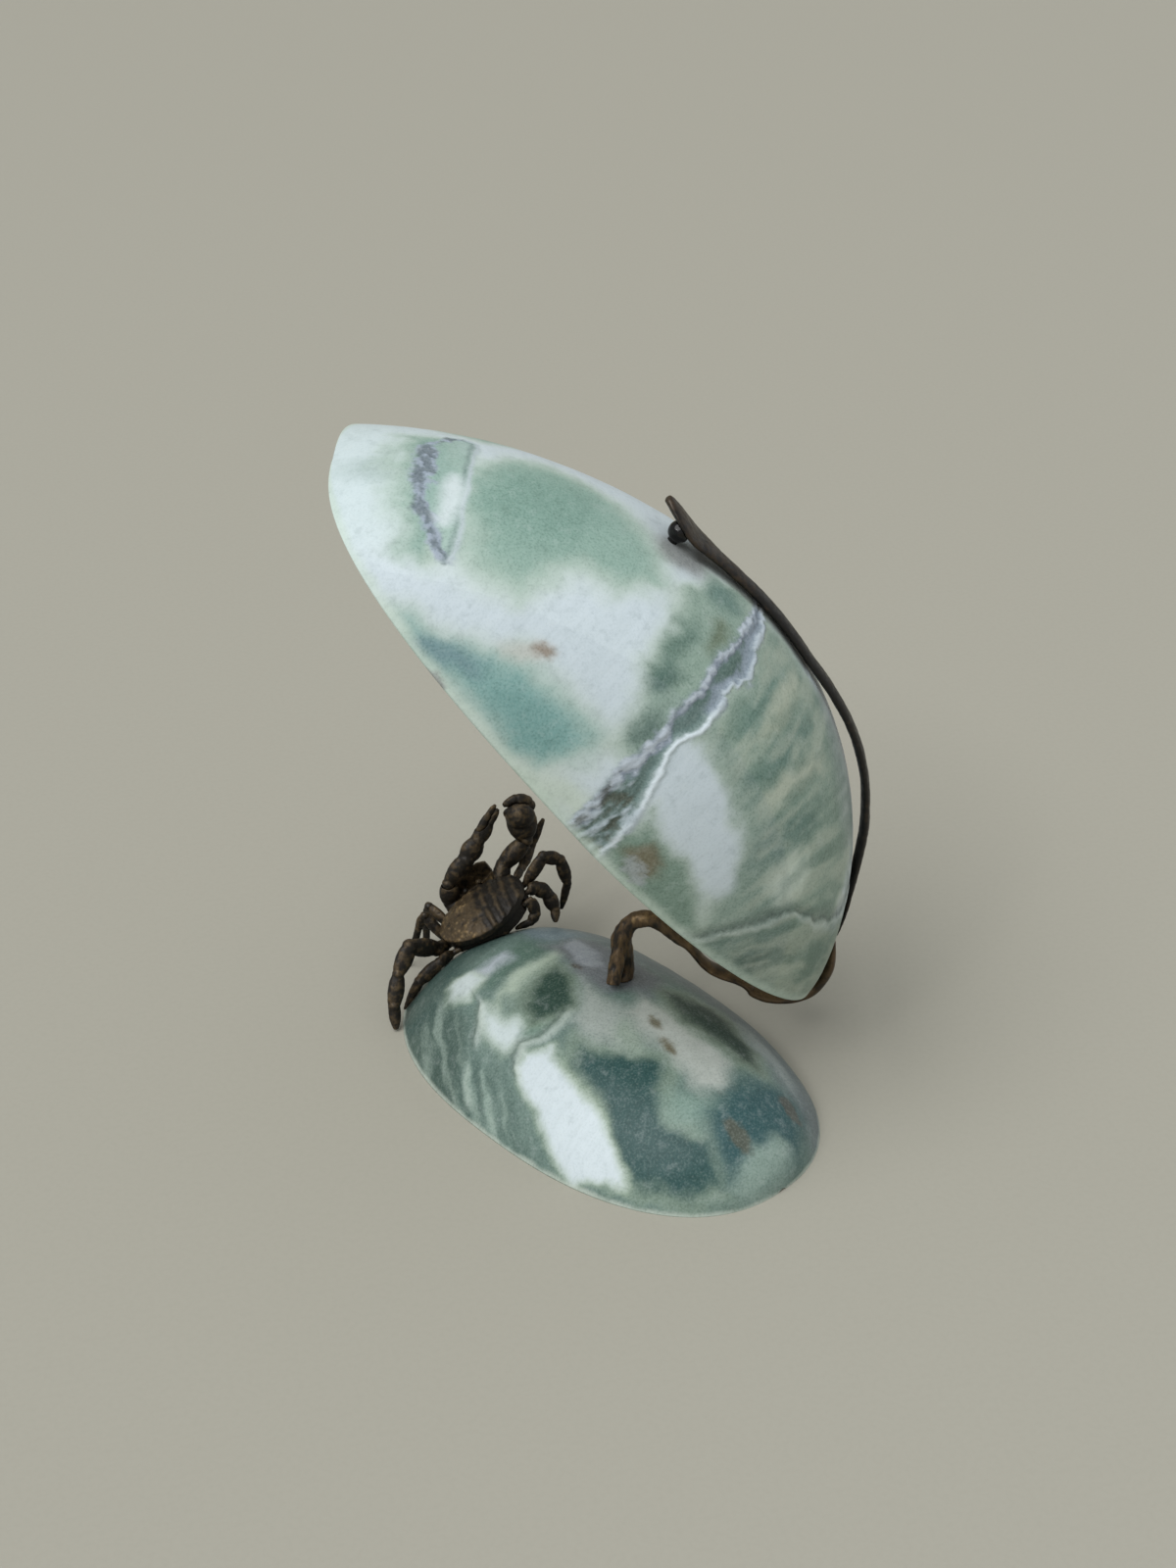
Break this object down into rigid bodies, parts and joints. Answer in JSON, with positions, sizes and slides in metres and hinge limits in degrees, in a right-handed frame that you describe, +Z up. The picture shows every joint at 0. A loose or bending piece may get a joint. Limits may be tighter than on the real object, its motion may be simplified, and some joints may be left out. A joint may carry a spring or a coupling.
{
  "type": "crab and shell ornament",
  "caption": "Table ornament: a bronze crab perched on a polished sea shell, and a bronze twig that carries a larger hollow shell above it.",
  "frame": {"origin": "middle of the base shell's ground rim, on the surface that the ornament stands on", "axes": "+Z up; +X to the right and +Y ahead when the crab is seen from behind, so the upper shell leans towards -X"},
  "size_m": [0.0953, 0.0967, 0.1301],
  "materials": {
    "base_shell": "polished sea shell, teal green and white",
    "upper_shell": "polished sea shell, sage green and white with grey growth scars",
    "stem_bronze": "bronze with a dark brown patina, rubbed lighter on its ridges",
    "crab_bronze": "cast bronze with a dark brown patina, rubbed lighter on its back",
    "rivet_bronze": "polished, near black",
    "fixing_brass": "plain turned brass"
  },
  "bodies": {
    "root": {"base_shell": "base_shell", "upper_shell": "upper_shell", "stem": "stem_bronze", "stem_washer": "fixing_brass", "stem_nut": "fixing_brass", "back_strap": "stem_bronze", "strap_rivet": "rivet_bronze", "rivet_rove": "fixing_brass", "crab_stud": "fixing_brass", "crab_washer": "fixing_brass", "crab_nut": "fixing_brass", "crab_eyes": "crab_bronze", "leg_right_1": "crab_bronze", "leg_right_2": "crab_bronze", "leg_right_3": "crab_bronze", "leg_right_4": "crab_bronze", "leg_left_1": "crab_bronze", "leg_left_2": "crab_bronze", "leg_left_3": "crab_bronze", "leg_left_4": "crab_bronze", "claw_arm_left": "crab_bronze", "claw_arm_right": "crab_bronze", "claw_hand_left": "crab_bronze", "claw_hand_right": "crab_bronze", "claw_finger_left": "crab_bronze", "claw_finger_right": "crab_bronze", "crab_face": "crab_bronze", "crab_carapace": "crab_bronze", "crab_underside": "crab_bronze"}
  },
  "joints": []
}
